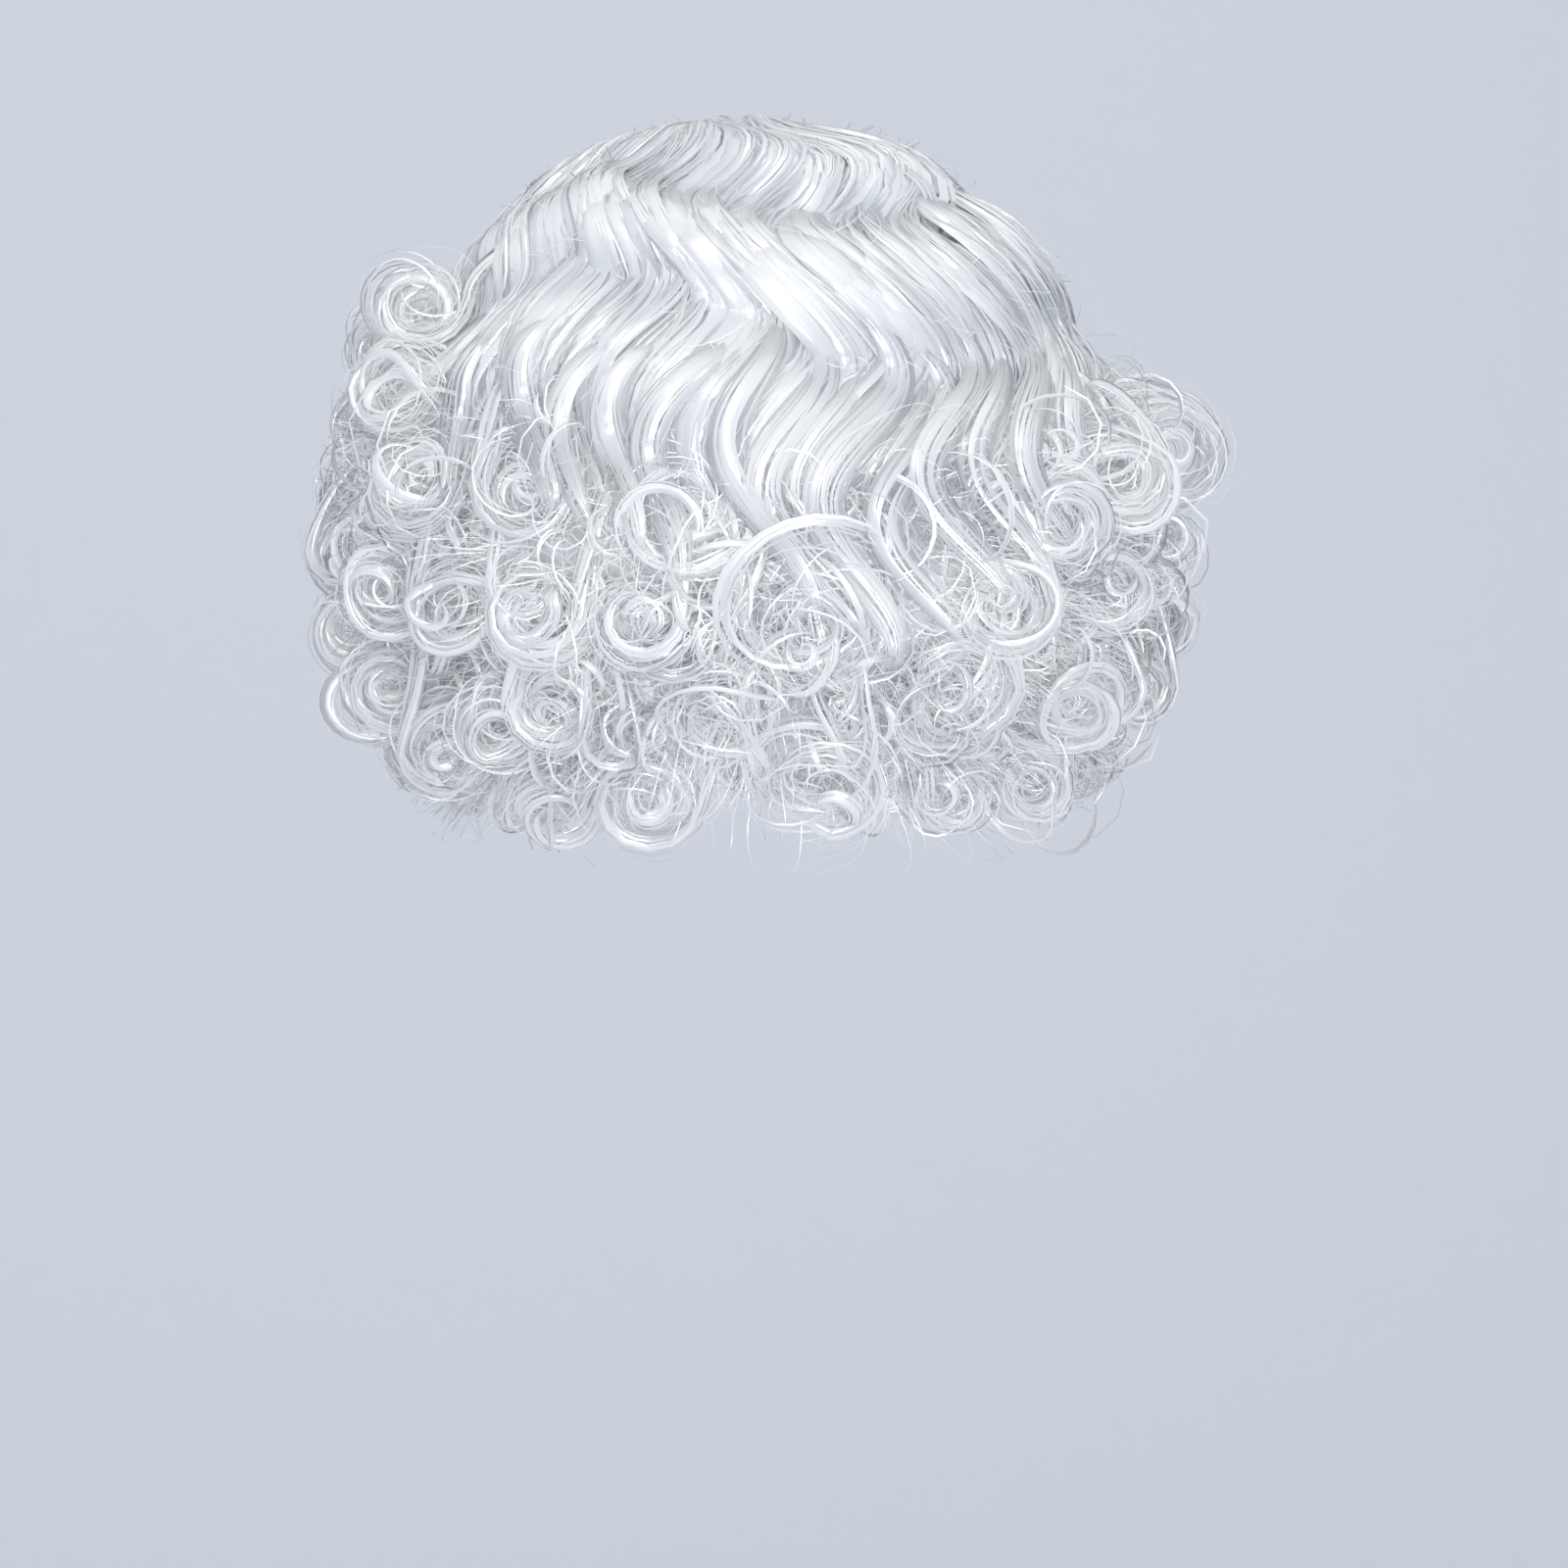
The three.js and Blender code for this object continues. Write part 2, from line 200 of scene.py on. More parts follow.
# The surfaces under the locks
SKIN_COLUMN = 1.8 * MM
SUBLOCK_COLUMNS = (5, 11)
SUBLOCK_HEIGHT = 2 * MM
SKIN_GRAIN = 0.25 * MM
SKIN_SUNK = 2.4 * MM
# The ridge height over which the combed surface's tint rises from its painted groove shade to full
RIDGE_RANGE = 2.7 * MM
CROWN_TIP = 0.006  # the polar angle at which the crown's surface closes
LINING_TOP = 20 * MM
LINING_ROWS = 8
LINING_COLUMNS = 60  # for each radian
LINING_RIDGES = 48
LINING_RIDGE_HEIGHT = 1.5 * MM
CROWN_ROWS = 60
PAD_ROWS = 22
END_LOCKS = 9
END_STEPS = 14

# The strands
STRAND_WIDTH = 0.9 * MM
STRAND_WIDTHS = (0.55, 1.35)  # the least and the greatest, as shares of the usual width
STRAND_TWIST = 0.5
STRAND_STRAY = 0.45 * MM
THREAD_RADIUS = 0.1 * MM
FRIZZ_WIDTH = 0.4 * MM
FRIZZ_LENGTHS = (12 * MM, 34 * MM)
FRIZZ_BEND = 1.1
FRIZZ_STEPS = 9
LIGHT_PASSED = 0.7
# How far a strand's two edges turn away from its middle, and how far its shading leans towards the
# whole wig's form; below nothing, the lean is away from it and the waves stand out
CURLED_LOOK = (math.radians(14), 1.3)
COMBED_LOOK = (math.radians(8), -0.6)
# Painted highlight and painted shade along the waves: the middle, the swing and the lead of a tint that
# peaks just above each crest, where light from above falls, and dips in the hollow below
PAINTED_LIGHT_MIDDLE = 0.81
PAINTED_LIGHT_SWING = 0.27
PAINTED_LIGHT_LEAD = 0.5

# The crown's locks: how many there are, the steps along each and the strands in it, and ranges in
# millimetres of the width, the depth, the lift of the middle and the stand-off of the end
CROWN_LOCKS = {"number": 170, "steps": 24, "strands": 15, "strand_width": 2 * STRAND_WIDTH}
CROWN_RANGES = ((9, 20), (1.4, 3.4), (0, 2), (-3, 5))
LOOSE_LOCKS = {"number": 430, "steps": 20, "strands": 7, "strand_width": 0.75 * STRAND_WIDTH}
LOOSE_RANGES = ((2, 8), (0.8, 2), (0.3, 3), (-3, 5))
LEAST_OVERHANG = 0.3
# Locks of one group lie side by side, and share a shift and a sway
LOCK_GROUPS = 26
LOCK_DRIFT = 0.065
GROUP_SHIFT = 0.9
OWN_SHIFT = 0.38
LEAST_SWAY = 0.8
MORE_SWAY = 0.45
GROUP_SWAY = 0.2
OWN_SWAY = 0.08

# The stray hairs: how many, how far they stand off, and how far they turn from straight down
CROWN_FRIZZ = {"number": 900, "stray": 6 * MM, "scatter": 0.8}
BANK_FRIZZ = {"number": 460, "stray": 24 * MM, "scatter": 2}
FRIZZ_TOP = -20 * MM
FRIZZ_BOTTOM = 62 * MM

# Waved locks that fall over the curls at the back: bearing in degrees, the drops in millimetres
# where each begins and ends, its width, and how far its end stands off, in millimetres
FALLING_DEPTH = 5 * MM
FALLING_LIFT = 4 * MM
FALLING_FLICK = 0.35  # the share of the length at which the end begins to stand off
FALLING_FILL = {"steps": 30, "strands": 22, "strand_width": STRAND_WIDTH}
FALLING_LOCKS = [
    (14, 60, 118, 12, 12),
    (6, 56, 128, 13, 16),
    (1, 50, 134, 12, 18),
    (-4, 54, 140, 14, 18),
    (-10, 62, 146, 12, 20),
    (-16, 50, 136, 14, 16),
    (-22, 60, 142, 12, 18),
    (-28, 52, 132, 13, 16),
    (-35, 58, 126, 12, 14),
    (-44, 50, 120, 13, 12),
    (-54, 56, 112, 12, 10),
    (22, 56, 112, 12, 14),
    (31, 50, 108, 13, 12),
    (42, 54, 104, 12, 10),
    (54, 44, 92, 13, 8),
]

# Sizes of a curl's locks and loose strands as shares of its radius, and their turns as shares of
# its turns
LOCK_SIZES = (0.62, 1.15)
INNER_SIZES = (0.3, 0.6)
LOCK_TURNS = (0.5, 1.1)
LOOSE_SIZES = (0.3, 1.12)
LOOSE_TURNS = (0.35, 1.1)
FEEDING_SIZES = (0.75, 1.05)
FEEDING_TURNS = (0.4, 0.95)
FEEDING_STEPS = 5  # more than in the curl's own locks

# How curls are filled: the locks, the strands in each, the loose strands, the steps along them, and
# the locks that feed the curl and how far above it they begin. Short ones also have ranges to draw
# their sizes from, and how many go in an upper and in a lower bank.
FULL_CURL = {"locks": 5, "strands": 13, "loose": 44, "steps": 21, "feeding": 3, "rise": 34 * MM}
SMALL_CURL = {
    "radii": (7 * MM, 13 * MM),
    "widths": (6 * MM, 12 * MM),
    "depths": (3.5 * MM, 6 * MM),
    "turns": (0.6, 1.3),
    "locks": 2,
    "strands": 9,
    "loose": 8,
    "steps": 16,
    "feeding": 1,
    "rise": 18 * MM,
    "counts": (13, 10),
}
WISP = {
    "radii": (9 * MM, 20 * MM),
    "widths": (3 * MM, 7 * MM),
    "depths": (1 * MM, 2 * MM),
    "turns": (0.35, 0.9),
    "locks": 1,
    "strands": 6,
    "loose": 3,
    "steps": 14,
    "feeding": 0,
    "rise": 0,
    "counts": (40, 30),
}


def unit(vectors):
    return vectors / np.maximum(np.linalg.norm(vectors, axis=-1, keepdims=True), 1e-9)


def smoothstep(value, low, high):
    share = np.clip((value - low) / (high - low), 0, 1)
    return share * share * (3 - 2 * share)


# The head's shape


def lofted(side, back, front, top, low):
    """Half sizes of the head grown by those lofts."""
    return {
        "side": HEAD_BREADTH / 2 + side,
        "back": HEAD_LENGTH / 2 + back,
        "front": HEAD_LENGTH / 2 + front,
        "top": CROWN_DEPTH + top,
        "low": NAPE_DEPTH + low,
    }


CROWN_HALF = lofted(CROWN_SIDE_LOFT, CROWN_BACK_LOFT, CROWN_FRONT_LOFT, CROWN_LOFT, CROWN_LOFT)
PAD_HALF = lofted(PAD_SIDE_LOFT, PAD_BACK_LOFT, PAD_FRONT_LOFT, CROWN_LOFT, PAD_LOW_LOFT)
INSIDE_HALF = lofted(*[HAIR_INSIDE] * 5)


def reach(directions, half):
    """How far the shape's surface lies from the head's centre along each direction."""
    x, y, z = np.moveaxis(directions, -1, 0)
    depth = np.where(y > 0, half["back"], half["front"])
    height = np.where(z > 0, half["top"], half["low"])
    return 1 / np.sqrt((x / half["side"]) ** 2 + (y / depth) ** 2 + (z / height) ** 2)


def pointing(bearing, polar):
    """The direction at a bearing from the back and an angle down from the crown."""
    flat = np.sin(polar)
    return np.stack([flat * np.sin(bearing), flat * np.cos(bearing), np.cos(polar)], axis=-1)


def polar_of(bearing, drop, half):
    """The angle down from the crown at which the shape has dropped that far."""
    height = CROWN_DEPTH - drop
    tall = np.where(height > 0, half["top"], half["low"])
    shrink = np.sqrt(np.maximum(1 - (height / tall) ** 2, 0.01))
    depth = np.where(np.cos(bearing) > 0, half["back"], half["front"])
    run = shrink / np.hypot(np.sin(bearing) / half["side"], np.cos(bearing) / depth)
    return np.arctan2(run, height)


def hem_drop(bearing):
    """The drop of the crown's lower edge."""
    facing = np.cos(bearing) ** 2
    low = np.where(np.cos(bearing) > 0, HEM_BACK, HEM_FRONT)
    side = np.where(bearing > 0, HEM_LEFT, HEM_RIGHT)
    tips = LOCK_TIPS * np.sqrt(np.abs(np.sin(WAVED_LOCKS / 2 * bearing)))
    return side + (low - side) * facing + tips


def under_hem(bearing):
    """The upper edge of the upper pads, tucked under the crown's hem."""
    return hem_drop(bearing) - HEM_OVERLAP


def even_edge(drop):
    """An edge that stays at one drop all the way along."""
    return lambda bearing: np.full_like(bearing, drop)


def wave_phase(bearing, polar, shift=0.0):
    """Where a point is on the waves, in radians past the crest of one."""
    return 2 * math.pi * polar * CROWN_DEPTH / WAVE_LENGTH + WAVE_DRIFT * np.sin(3 * bearing) + shift


def painted_wave_light(bearing, polar, shift=0.0):
    """Painted highlight and painted shade: a tint that is highest just above the crest of a wave, where
    light from above catches it, and lowest in the hollow below it.
    """
    return PAINTED_LIGHT_MIDDLE + PAINTED_LIGHT_SWING * np.cos(wave_phase(bearing, polar, shift) + PAINTED_LIGHT_LEAD)


def hair_flow(bearing, polar, half, lift, sway=1.0, shift=0.0):
    """Points of hair that runs down from the crown and sways with the waves, lifted off the shape."""
    along = polar * CROWN_DEPTH
    phase = wave_phase(bearing, polar, shift)
    spread = smoothstep(along, WAVE_LENGTH * WAVES_BEGIN, WAVE_LENGTH * WAVES_FULL)
    waist = np.maximum(np.sin(polar) * CROWN_DEPTH, LOCK_SWAY)
    swayed = bearing + spread * sway * LOCK_SWAY * np.sin(phase * SWAY_PACE) / waist
    swayed = swayed + SWIRL * np.exp(-along / SWIRL_REACH)
    directions = pointing(swayed, polar)
    distance = reach(directions, half) + spread * WAVE_HEIGHT * np.cos(phase) + lift
    return HEAD_CENTRE + directions * distance[..., None]


# Meshes of hair


class Hair:
    """Gathers surfaces and strands, and turns them into one mesh object."""

    def __init__(self):
        self.points = []
        self.normals = []
        self.quads = []
        self.uvs = []
        self.tints = []
        self.count = 0

    def grid(self, points, uv, tint):
        """A surface through rows and columns of points, with its own smooth normals."""
        rows, columns = points.shape[:2]
        index = self.count + np.arange(rows * columns).reshape(rows, columns)
        faces = np.stack([index[:-1, :-1], index[:-1, 1:], index[1:, 1:], index[1:, :-1]], axis=-1)
        self._add(points, np.zeros_like(points), faces, uv, np.broadcast_to(tint, (rows, columns)))

    def strands(self, path, span, facing, width, tint, look=CURLED_LOOK):
        """Flat strands along paths of shape (strands, steps, 3), shaded as if they were round."""
        number, steps = path.shape[:2]
        if number == 0:
            return
        travel = unit(np.gradient(path, axis=1))
        flat = unit(np.cross(span, travel))
        side = np.einsum("ijk,ijk->i", flat, facing)
        span = span * np.where(side < 0, -1, 1)[:, None, None]
        flat = flat * np.where(side < 0, -1, 1)[:, None, None]
        outward = unit(path - HEAD_CENTRE)
        away = np.einsum("ijk,ijk->ij", flat, outward)
        rounding, softness = look
        facing = unit(flat + softness * outward * np.maximum(away, 0)[..., None])
        half = (width / 2)[..., None]
        points = np.stack([path - span * half, path + span * half], axis=2)
        lean = span * math.sin(rounding)
        upright = facing * math.cos(rounding)
        normals = unit(np.stack([upright - lean, upright + lean], axis=2))
        index = self.count + np.arange(number * steps * 2).reshape(number, steps, 2)
        faces = np.stack([index[:, :-1, 0], index[:, :-1, 1], index[:, 1:, 1], index[:, 1:, 0]], axis=-1)
        stretch = np.linalg.norm(np.diff(path, axis=1), axis=-1)
        length = np.concatenate([np.zeros((number, 1)), np.cumsum(stretch, axis=1)], axis=1)
        uv = np.empty((number, steps, 2, 2))
        uv[..., 0] = np.arange(number)[:, None, None] * 0.37 + np.array([0, 0.2])
        uv[..., 1] = length[..., None]
        tints = np.broadcast_to(tint.reshape(number, -1, 1), (number, steps, 2))
        self._add(points, normals, faces, uv, tints)

    def _add(self, points, normals, quads, uv, tints):
        self.points.append(points.reshape(-1, 3))
        self.normals.append(normals.reshape(-1, 3))
        self.quads.append(quads.reshape(-1, 4))
        self.uvs.append(uv.reshape(-1, 2))
        self.tints.append(tints.reshape(-1))
        self.count += self.points[-1].shape[0]

    def piece(self, name, material):
        points = np.concatenate(self.points).astype(np.float32)
        quads = np.concatenate(self.quads).astype(np.int32)
        uv = np.concatenate(self.uvs).astype(np.float32)
        tints = np.concatenate(self.tints).astype(np.float32)
        mesh = bpy.data.meshes.new(name)
        mesh.vertices.add(len(points))
        mesh.vertices.foreach_set("co", points.ravel())
        mesh.loops.add(quads.size)
        mesh.loops.foreach_set("vertex_index", quads.ravel())
        mesh.polygons.add(len(quads))
        mesh.polygons.foreach_set("loop_start", np.arange(0, quads.size, 4, dtype=np.int32))
        mesh.polygons.foreach_set("loop_total", np.full(len(quads), 4, dtype=np.int32))
        mesh.polygons.foreach_set("use_smooth", np.ones(len(quads), dtype=bool))
        layer = mesh.uv_layers.new(name="along_the_hair")
        layer.data.foreach_set("uv", uv[quads.ravel()].ravel())
        attribute = mesh.attributes.new("tint", "FLOAT", "POINT")
        attribute.data.foreach_set("value", tints)
        mesh.update(calc_edges=True)
        mesh.normals_split_custom_set_from_vertices(np.concatenate(self.normals))
        mesh.materials.append(material)
        piece = bpy.data.objects.new(name, mesh)
        bpy.context.scene.collection.objects.link(piece)
        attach(piece, "root")
        return piece


def frames(path, outward):
    """Unit vectors across a path and away from the head, at each of its points."""
    travel = unit(np.gradient(path, axis=1))
    across = unit(np.cross(travel, outward))
    return across, unit(np.cross(across, travel))


def fill_locks(hair, rng, path, across, up, half_width, half_depth, number, arc, loose,
               strand=STRAND_WIDTH, look=CURLED_LOOK, painted_light=None):
    """Lays strands round the oval section of each lock, twisted a little and straying a little.

    The paths have the shape (locks, steps, 3) and the half sizes (locks, steps). The arc is the
    part of the section that is covered, in radians either side of up.
    """
    locks, steps = path.shape[:2]
    share = np.linspace(0, 1, steps)
    turned = rng.uniform(-arc, arc, (locks, number, 1))
    turned = turned + rng.normal(0, STRAND_TWIST, (locks, number, 1)) * share
    bark = rng.uniform(0.8, 1.05, (locks, number, 1))
    free = 1 + loose * np.abs(rng.normal(0, 1, (locks, number, 1))) ** 1.5 * share
    sine = np.sin(turned)[..., None]
    cosine = np.cos(turned)[..., None]
    wide = (half_width[:, None] * bark * free)[..., None]
    deep = (half_depth[:, None] * bark * free)[..., None]
    ways = across[:, None], up[:, None]
    span = unit(ways[0] * wide * cosine - ways[1] * deep * sine)
    facing = unit(ways[0] * deep * sine + ways[1] * wide * cosine)
    wave = rng.uniform(3, 8, (locks, number, 1)) * share + rng.uniform(0, 6.3, (locks, number, 1))
    stray = np.sin(wave)[..., None] * rng.normal(0, STRAND_STRAY, (locks, number, 1, 1))
    points = path[:, None] + ways[0] * wide * sine + ways[1] * deep * cosine + span * stray
    taper = np.clip(np.minimum(share / 0.12, (1 - share) / 0.25), 0.12, 1)
    width = strand * rng.uniform(*STRAND_WIDTHS, (locks, number, 1)) * taper
    flat = (locks * number, steps, 3)
    tint = rng.uniform(0.65, 1, locks)[:, None] * 0.5 + rng.uniform(0.7, 1, (locks, number)) * 0.5
    # Painted highlight and painted shade along the waves, multiplied into the strands' tints
    if painted_light is not None:
        tint = tint[..., None] * painted_light[:, None]
    hair.strands(points.reshape(flat), span.reshape(flat), facing.reshape(flat),
                 width.reshape(flat[:2]), tint, look)


# Surfaces under the locks


def sublock_profile(rng, columns):
    """Rounded heights from 0 to 1 for each column, in sub-locks of uneven width."""
    height = np.zeros(columns)
    start = 0
    while start < columns:
        width = int(rng.integers(*SUBLOCK_COLUMNS))
        end = min(start + width, columns)
        share = (np.arange(start, end) - start + 0.5) / (end - start)
        height[start:end] = np.sqrt(np.sin(np.pi * share)) * rng.uniform(0.5, 1)
        start = end
    return height


def skin(hair, rng, half, low_bearing, high_bearing, tops, bottoms, rows):
    """A combed surface between two edges, or from the crown's tip down: its ridges follow the flow."""
    middle = (low_bearing + high_bearing) / 2
    width = (high_bearing - low_bearing) * half["side"]
    columns = max(int(width / SKIN_COLUMN), 8)
    bearing = np.linspace(low_bearing, high_bearing, columns)
    share = np.linspace(0, 1, rows)[:, None]
    top = polar_of(bearing, tops(bearing), half) if tops else CROWN_TIP
    bottom = polar_of(bearing, bottoms(bearing), half)
    polar = top + (bottom - top) * share
    ridges = sublock_profile(rng, columns) * SUBLOCK_HEIGHT + rng.random(columns) * SKIN_GRAIN
    spread = smoothstep(polar * CROWN_DEPTH, 6 * MM, 60 * MM)
    lift = spread * (ridges - SKIN_SUNK)
    points = hair_flow(np.broadcast_to(bearing, polar.shape), polar, half, lift)
    uv = np.empty((*polar.shape, 2))
    uv[..., 0] = (bearing - middle) * half["side"] / (12 * MM)
    uv[..., 1] = polar * CROWN_DEPTH
    # Painted shade: the tint is darkest in the grooves between sub-locks, where the ridges sink, and
    # varies at random from one sub-lock to the next; it is then multiplied by the painted wave highlight
    # and shade
    tint = (0.62 + 0.38 * ridges / RIDGE_RANGE) * painted_wave_light(bearing, polar)
    hair.grid(points, uv, tint)


def lining(hair, low_bearing, high_bearing, tops, bottoms, half):
    """The hair's inner side and its lower edge, seen from below."""
    columns = int((high_bearing - low_bearing) * LINING_COLUMNS)
    bearing = np.linspace(low_bearing, high_bearing, columns)
    ridges = np.abs(np.sin(LINING_RIDGES * bearing)) * np.cos(7 * bearing) ** 2
    top = polar_of(bearing, tops(bearing), INSIDE_HALF)
    bottom = polar_of(bearing, bottoms(bearing), INSIDE_HALF)
    rows = []
    for share in np.linspace(0, 1, LINING_ROWS):
        directions = pointing(bearing, top + (bottom - top) * share)
        lifted = reach(directions, INSIDE_HALF) + ridges * LINING_RIDGE_HEIGHT
        rows.append(HEAD_CENTRE + directions * lifted[:, None])
    inner = rows[-1]
    outer_polar = polar_of(bearing, bottoms(bearing), half)
    outer = hair_flow(bearing, outer_polar, half, np.full_like(bearing, -1.5 * MM))
    for share in (0.33, 0.66, 1):
        rows.append(inner + (outer - inner) * share)
    points = np.stack(rows)
    uv = np.empty((*points.shape[:2], 2))
    uv[..., 0] = bearing * 8
    uv[..., 1] = np.linspace(0, 0.1, len(rows))[:, None]
    hair.grid(points, uv, np.broadcast_to(0.8 - 0.4 * ridges, points.shape[:2]))


def surface_at(bearing, drops, half):
    """Points of the shape's surface at a bearing and several drops."""
    directions = pointing(np.full_like(drops, bearing), polar_of(bearing, drops, half))
    return HEAD_CENTRE + directions * reach(directions, half)[:, None]


def front_end(hair, rng, bearing, top_drop, bottom_drop):
    """Closes a bank's front end with a wall, under locks that hang down over it."""
    drops = np.linspace(top_drop, bottom_drop, END_STEPS)
    inner = surface_at(bearing, drops, INSIDE_HALF)
    outer = surface_at(bearing, drops, PAD_HALF)
    shares = np.linspace(0, 1, 7)[None, :, None]
    wall = inner[:, None] + (outer - inner)[:, None] * shares
    uv = np.empty((*wall.shape[:2], 2))
    uv[..., 0] = shares[..., 0] * 3
    uv[..., 1] = drops[:, None]
    hair.grid(wall, uv, np.full(wall.shape[:2], 0.7))
    forward = np.array([math.cos(bearing), -math.sin(bearing), 0]) * np.sign(bearing)
    place = (np.linspace(0, 1, END_LOCKS) + rng.normal(0, 0.05, END_LOCKS))[:, None, None]
    path = inner + (outer - inner) * place
    wave = 3 * np.linspace(0, 2 * np.pi, END_STEPS)[None] + rng.uniform(0, 6.3, (END_LOCKS, 1))
    width = np.linalg.norm(outer[0] - inner[0])
    path = path + unit(outer - inner) * (np.sin(wave) * 0.1 * width)[..., None]
    path = path + forward * (3 * MM + 2 * MM * np.cos(wave))[..., None]
    across, up = frames(path, np.broadcast_to(forward, path.shape))
    share = np.linspace(0, 1, END_STEPS)[None] * np.ones((END_LOCKS, 1))
    fullness = np.clip(np.minimum(share / 0.1, (1.02 - share) / 0.3), 0.2, 1)
    half_width = fullness * 4 * MM
    half_depth = fullness * 2 * MM
    fill_locks(hair, rng, path, across, up, half_width, half_depth, 11, math.radians(100), 0.3)


# Locks and strands that follow the flow


def flow_locks(hair, rng, bearings, begins, ends, section, fill, flick_from=0.8):
    """Locks of strands that lie along the crown's waves, each with its own small shift and drift.

    They run between two polar angles. The section holds the width and depth of each lock, how far
    its middle is lifted, and how far its end stands off.
    """
    widths, depths, lifts, flicks = section
    locks = len(bearings)
    share = np.linspace(0, 1, fill["steps"])[None]
    polar = begins[:, None] + (ends - begins)[:, None] * share
    drift = rng.normal(0, LOCK_DRIFT, locks)[:, None] * share
    group = np.floor((bearings / (2 * np.pi) + 0.5) * LOCK_GROUPS) * 2.4
    shift = (GROUP_SHIFT * np.sin(group * 3) + rng.normal(0, OWN_SHIFT, locks))[:, None]
    strongest = np.exp(-(((bearings - SWAY_MIDDLE) / SWAY_SPREAD) ** 2))
    sway = LEAST_SWAY + MORE_SWAY * strongest + GROUP_SWAY * np.sin(group * 5)
    sway = (sway + rng.normal(0, OWN_SWAY, locks))[:, None]
    bow = np.sin(np.pi * share) ** 0.5
    lift = lifts[:, None] * bow + flicks[:, None] * smoothstep(share, flick_from, 1)
    path = hair_flow(bearings[:, None] + drift, polar, CROWN_HALF, lift, sway, shift)
    across, up = frames(path, unit(path - HEAD_CENTRE))
    fullness = np.sqrt(np.clip(np.sin(np.pi * (0.06 + 0.9 * share)), 0.03, 1))
    half_width = widths[:, None] * fullness / 2
    half_depth = depths[:, None] * fullness / 2
    # Painted highlight and painted shade that follow each lock's waves
    painted_light = painted_wave_light(bearings[:, None] + drift, polar, shift)
    fill_locks(hair, rng, path, across, up, half_width, half_depth, fill["strands"],
               math.radians(80), 0.12, fill["strand_width"], COMBED_LOOK, painted_light)


def random_section(rng, number, ranges):
    """Widths, depths, lifts and stand-offs for flow_locks, from ranges in millimetres."""
    return [rng.uniform(low, high, number) * MM for low, high in ranges]


# Curls


def pad_seat(bearing, drop):
    """The point of the pads' surface at a bearing and a drop, and the way it faces."""
    height = CROWN_DEPTH - drop
    tall = PAD_HALF["top"] if height > 0 else PAD_HALF["low"]
    shrink = math.sqrt(max(1 - (height / tall) ** 2, 0.15))
    east = math.sin(bearing)
    north = math.cos(bearing)
    depth = PAD_HALF["back"] if north > 0 else PAD_HALF["front"]
    run = shrink / math.hypot(east / PAD_HALF["side"], north / depth)
    point = np.array([run * east, run * north, -drop])
    facing = np.array([point[0] / PAD_HALF["side"] ** 2, point[1] / depth**2, height / tall**2])
    return point, unit(facing)


def turned_about(vector, axis, angle):
    """A vector turned about a unit axis."""
    cosine = math.cos(angle)
    along = axis * float(axis @ vector) * (1 - cosine)
    return vector * cosine + np.cross(axis, vector) * math.sin(angle) + along


class Curl:
    """Where a curl lies, and the paths of hair that wind round it."""

    def __init__(self, bearing, drop, radius, lean, tilt, hand, middle, width, thickness, sink):
        point, facing = pad_seat(bearing, drop)
        level = unit(np.cross([0, 0, 1], facing))
        upward = np.cross(facing, level)
        axis = turned_about(facing, upward, lean * np.sign(bearing or 1))
        axis = turned_about(axis, level, tilt)
        pull = middle - point
        start = pull / max(np.linalg.norm(pull), radius) / 2 - facing
        start = unit(start - axis * float(start @ axis))
        flat = float(axis @ facing)
        rise = width / 2 * abs(flat) + (radius + thickness / 2) * math.sqrt(max(1 - flat**2, 0))
        self.centre = point + facing * (rise - sink)
        self.axis = axis
        self.start = start
        self.hand = hand
        self.facing = facing
        self.radius = radius
        first = self.centre + start * radius - HEAD_CENTRE
        depth = np.linalg.norm(first) - reach(unit(first), PAD_HALF)
        self.root_sink = depth + ROOT_DEPTH

    def wind(self, rng, steps, size, turns, begin, axial, rooted=1):
        """Paths round the curl, with the ways along its axis and outwards at each point.

        Size, turns, begin (in turns) and axial have one number for each path. Each ring is tipped
        and shifted a little, and a rooted path rises out of the pad.
        """
        number = len(size)
        share = np.linspace(0, 1, steps)[None]
        tips = rng.normal(0, CURL_WOBBLE, (number, 2))
        other = np.cross(self.axis, self.start)
        axis = unit(self.axis + tips[:, :1] * self.start + tips[:, 1:] * other)
        start = unit(self.start - axis * (axis @ self.start)[:, None])
        side = np.cross(axis, start) * self.hand
        angle = 2 * np.pi * (begin[:, None] + turns[:, None] * share)
        out = np.cos(angle)[..., None] * start[:, None] + np.sin(angle)[..., None] * side[:, None]
        tighten = COIL_TIGHTEN * rng.uniform(0.3, 1.05, (number, 1))
        flattening = rng.uniform(0, COIL_OVAL, (number, 1))
        oval = 1 + flattening * np.cos(2 * angle + rng.uniform(0, 6.3, (number, 1)))
        radius = self.radius * size[:, None] * (1 - tighten * share) * oval
        rising = rooted * (1 - smoothstep(share, 0, STEM_SHARE))
        centre = self.centre + rng.normal(0, CURL_WOBBLE * self.radius * 0.6, (number, 3))
        path = centre[:, None] + out * radius[..., None] + axis[:, None] * axial[:, None, None]
        path = path - self.facing * (self.root_sink * rising)[..., None]
        return path, np.broadcast_to(axis[:, None], path.shape), out


